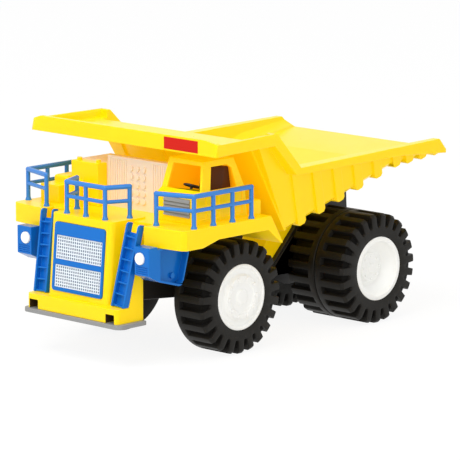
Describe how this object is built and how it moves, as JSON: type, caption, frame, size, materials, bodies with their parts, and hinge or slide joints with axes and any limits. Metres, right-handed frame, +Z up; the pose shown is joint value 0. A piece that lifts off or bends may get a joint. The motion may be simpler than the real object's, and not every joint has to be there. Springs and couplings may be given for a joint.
{
  "type": "toy mining dump truck",
  "caption": "Moulded plastic toy of a rigid mining dump truck: yellow body and tipping bed, blue railings and lamp boxes, black lugged tyres on white hubs.",
  "frame": {"origin": "on the floor, under the middle of the truck's length and width", "axes": "+X to the front of the truck, +Y to its left, +Z up"},
  "size_m": [0.485, 0.2928, 0.2521],
  "materials": {
    "yellow_plastic": "smooth moulded plastic with a soft gloss",
    "blue_plastic": "smooth moulded plastic with a soft gloss",
    "grey_plastic": "satin moulded plastic",
    "white_plastic": "smooth moulded plastic",
    "tyre_plastic": "satin black tyre with bold lugs",
    "black_plastic": "satin moulded plastic",
    "cream_plastic": "smooth moulded plastic",
    "brown_plastic": "satin moulded plastic",
    "steel": "plain drawn rod",
    "sticker": "blank printed film"
  },
  "bodies": {
    "chassis": {"cab": "yellow_plastic", "deck": "yellow_plastic", "radiator_housing": "yellow_plastic", "rear_box": "yellow_plastic", "cabinet": "yellow_plastic", "step_boxes": "yellow_plastic", "air_cleaner": "yellow_plastic", "grille_plate": "blue_plastic", "lamp_box_left": "blue_plastic", "lamp_box_right": "blue_plastic", "ladder_left": "blue_plastic", "ladder_right": "blue_plastic", "railing_centre": "blue_plastic", "railing_left": "blue_plastic", "railing_right": "blue_plastic", "cab_louvre": "grey_plastic", "dashboard": "grey_plastic", "skid_plate": "grey_plastic", "grille_screens": "white_plastic", "lamp_left": "white_plastic", "lamp_right": "white_plastic", "chassis": "black_plastic", "steering_wheel": "black_plastic", "hood": "cream_plastic", "seat": "brown_plastic", "front_axle": "steel", "rear_axle": "steel", "hinge_pin": "steel"},
    "bed": {"dump_bed": "yellow_plastic", "sticker": "sticker"},
    "front_left_wheel": {"front_left_tyre": "tyre_plastic", "front_left_hub": "white_plastic"},
    "front_right_wheel": {"front_right_tyre": "tyre_plastic", "front_right_hub": "white_plastic"},
    "rear_left_wheels": {"rear_left_outer_tyre": "tyre_plastic", "rear_left_inner_tyre": "tyre_plastic", "rear_left_hub": "white_plastic"},
    "rear_right_wheels": {"rear_right_outer_tyre": "tyre_plastic", "rear_right_inner_tyre": "tyre_plastic", "rear_right_hub": "white_plastic"}
  },
  "joints": [
    {"name": "front_left_wheel_spin", "type": "hinge", "parent": "chassis", "child": "front_left_wheel", "pos_m": [0.086, 0.0915, 0.0645], "axis": [0, 1, 0], "continuous": true},
    {"name": "front_right_wheel_spin", "type": "hinge", "parent": "chassis", "child": "front_right_wheel", "pos_m": [0.086, -0.0915, 0.0645], "axis": [0, 1, 0], "continuous": true},
    {"name": "rear_left_wheels_spin", "type": "hinge", "parent": "chassis", "child": "rear_left_wheels", "pos_m": [-0.144, 0.0696, 0.0645], "axis": [0, 1, 0], "continuous": true},
    {"name": "rear_right_wheels_spin", "type": "hinge", "parent": "chassis", "child": "rear_right_wheels", "pos_m": [-0.144, -0.0696, 0.0645], "axis": [0, 1, 0], "continuous": true},
    {"name": "bed_tip", "type": "hinge", "parent": "chassis", "child": "bed", "pos_m": [-0.178, 0, 0.168], "axis": [0, -1, 0], "range_deg": [0, 50]}
  ]
}
